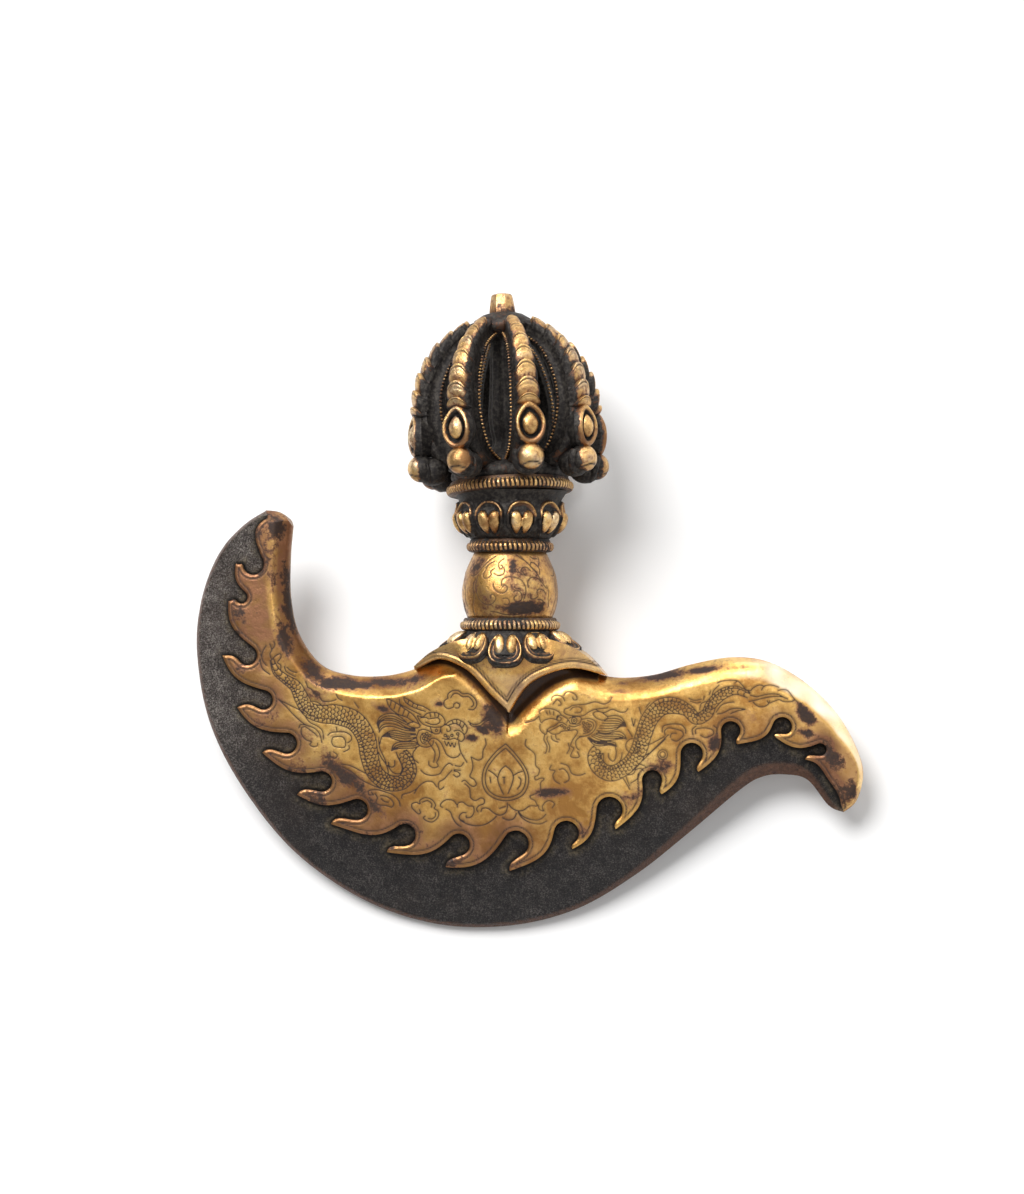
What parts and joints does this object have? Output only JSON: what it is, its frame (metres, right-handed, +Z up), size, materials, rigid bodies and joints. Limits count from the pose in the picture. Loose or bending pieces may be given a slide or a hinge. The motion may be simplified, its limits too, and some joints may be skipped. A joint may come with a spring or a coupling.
{
  "type": "ritual chopper",
  "caption": "Crescent flaying knife (kartika) with a dark forged blade in a gilt flame-edged mount, a short bulb grip between lotus collars and a half-vajra pommel.",
  "frame": {"origin": "middle of the grip, on the handle's axis", "axes": "+Z up the handle to the vajra, +X to the blade's long tail, -Y is the pictured front"},
  "size_m": [0.1804, 0.0538, 0.1714],
  "materials": {
    "forged_iron": "dark patina, worn edge",
    "gilt_copper": "worn fire gilding over dark ground",
    "dark_iron": "dark patina with gilt high points",
    "lac_filling": "matt"
  },
  "bodies": {
    "root": {"blade": "forged_iron", "front_cheek": "gilt_copper", "rear_cheek": "gilt_copper", "cheek_pins": "gilt_copper", "yoke": "gilt_copper", "lower_lotus": "dark_iron", "lower_ring": "gilt_copper", "grip_shell": "gilt_copper", "grip_core": "lac_filling", "upper_ring": "gilt_copper", "upper_lotus": "dark_iron", "top_ring": "gilt_copper", "vajra_hub": "dark_iron", "tang_washer": "forged_iron", "axial_prong": "dark_iron", "crown": "dark_iron", "prong_1": "dark_iron", "prong_2": "dark_iron", "prong_3": "dark_iron", "prong_4": "dark_iron", "prong_5": "dark_iron", "prong_6": "dark_iron", "prong_7": "dark_iron", "prong_8": "dark_iron"}
  },
  "joints": []
}
